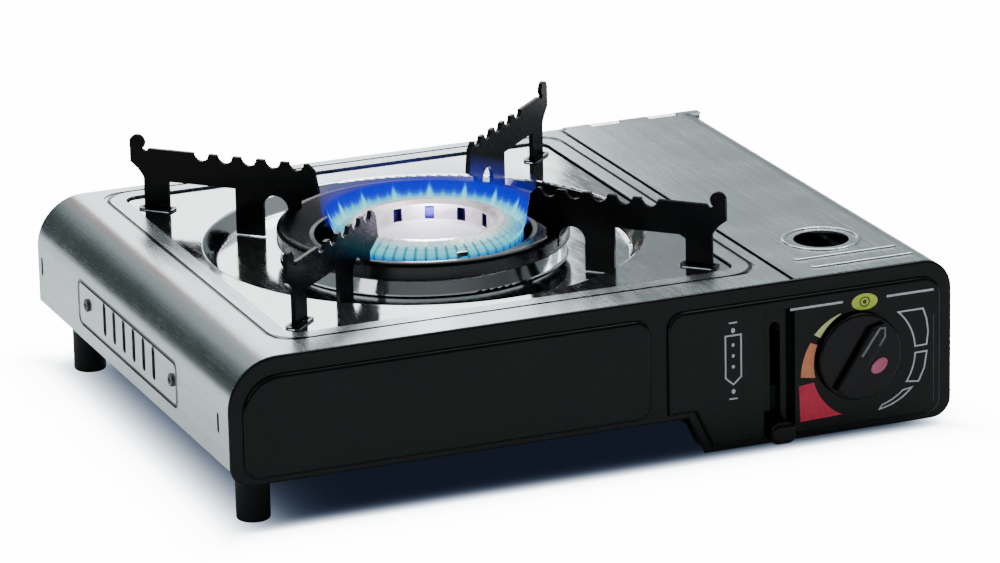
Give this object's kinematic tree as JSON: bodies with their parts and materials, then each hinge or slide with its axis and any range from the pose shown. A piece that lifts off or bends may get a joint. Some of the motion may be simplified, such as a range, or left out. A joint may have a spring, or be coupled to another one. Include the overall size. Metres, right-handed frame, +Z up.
{
  "type": "camping stove",
  "caption": "Portable single-burner gas stove in a folded steel case, with a lidded cartridge bay, front control knob, locking lever, drip pan and lift-off pot support.",
  "frame": {"origin": "on the ground under the middle of the stove's bounding box", "axes": "+X to the right along the length, +Y to the back, +Z up; the knob faces -Y"},
  "size_m": [0.3424, 0.278, 0.1131],
  "materials": {
    "stainless_shell": "brushed",
    "polished_steel": "polished",
    "black_enamel": "gloss",
    "dark_paint": "satin",
    "pan_enamel": "satin enamel",
    "galvanised_steel": "galvanised",
    "zinc_steel": "zinc plated",
    "dark_screws": "black oxide",
    "black_rubber": "matte",
    "cast_aluminium": "cast",
    "burner_steel": "heat stained",
    "white_ceramic": "glazed",
    "black_plastic": "gloss",
    "white_plastic": "matte",
    "red_plastic": "gloss",
    "lead_insulation": "satin",
    "brass": "machined",
    "seal_rubber": "matte"
  },
  "bodies": {
    "case": {"outer_shell": "stainless_shell", "right_side_panel": "stainless_shell", "front_panel": "black_enamel", "rear_panel": "dark_paint", "base_tray": "dark_paint", "partition_wall": "galvanised_steel", "tall_feet": "black_rubber", "short_feet": "black_rubber", "foot_screws": "zinc_steel", "side_screws": "dark_screws", "rear_screws": "dark_screws", "burner_base": "cast_aluminium", "burner_head": "burner_steel", "burner_strap": "galvanised_steel", "burner_screws": "zinc_steel", "mixing_tube": "cast_aluminium", "electrode_insulator": "white_ceramic", "spark_electrode": "zinc_steel", "electrode_bracket": "galvanised_steel", "piezo_body": "black_plastic", "igniter_lead": "lead_insulation", "regulator_body": "cast_aluminium", "regulator_cap": "galvanised_steel", "regulator_screws": "zinc_steel", "gas_jet": "brass", "cartridge_socket": "galvanised_steel", "alignment_key": "zinc_steel", "socket_seal": "seal_rubber", "regulator_bracket": "galvanised_steel", "crank_pivot_pin": "zinc_steel", "carriage_rails": "galvanised_steel", "hinge_bracket": "zinc_steel", "hinge_pin": "dark_screws"},
    "knob_assembly": {"knob": "black_plastic", "knob_marker": "red_plastic", "valve_spindle": "brass", "igniter_cam": "white_plastic"},
    "lever": {"lock_lever": "dark_screws", "lever_grip": "black_plastic"},
    "crank": {"bell_crank": "zinc_steel"},
    "carriage": {"cartridge_carriage": "dark_paint"},
    "lid": {"lid": "stainless_shell"},
    "drip_pan": {"drip_pan": "polished_steel"},
    "pan_support": {"support_ring": "pan_enamel", "support_arm_1": "pan_enamel", "support_arm_2": "pan_enamel", "support_arm_3": "pan_enamel", "support_arm_4": "pan_enamel"},
    "plunger": {"piezo_plunger": "white_plastic"}
  },
  "joints": [
    {"name": "knob_turn", "type": "hinge", "parent": "case", "child": "knob_assembly", "pos_m": [0.123, -0.135, 0.0406], "axis": [0, -1, 0], "range_deg": [-144, 6]},
    {"name": "lever_slide", "type": "slide", "parent": "case", "child": "lever", "axis": [0, 0, 1], "range_m": [0, 0.0375]},
    {"name": "crank_turn", "type": "hinge", "parent": "case", "child": "crank", "pos_m": [0.067, -0.096, 0.03575], "axis": [-1, 0, 0], "range_deg": [0, 76]},
    {"name": "carriage_slide", "type": "slide", "parent": "case", "child": "carriage", "axis": [0, 1, 0], "range_m": [0, 0.00677]},
    {"name": "lid_hinge", "type": "hinge", "parent": "case", "child": "lid", "pos_m": [0.131, 0.13575, 0.07575], "axis": [-1, 0, 0], "range_deg": [0, 100]},
    {"name": "drip_pan_lift", "type": "slide", "parent": "case", "child": "drip_pan", "axis": [0, 0, 1], "range_m": [0, 0.06]},
    {"name": "pan_support_lift", "type": "slide", "parent": "drip_pan", "child": "pan_support", "axis": [0, 0, 1], "range_m": [0, 0.06]},
    {"name": "plunger_press", "type": "slide", "parent": "case", "child": "plunger", "axis": [1, 0, 0], "range_m": [0, 0.004], "stiffness_N_per_m": 300, "springref_m": -0.003}
  ],
  "couplings": [
    {"joint": "crank_turn", "follows": "lever_slide", "rad_per_m": 35.367},
    {"joint": "carriage_slide", "follows": "lever_slide", "ratio": 0.18057}
  ]
}
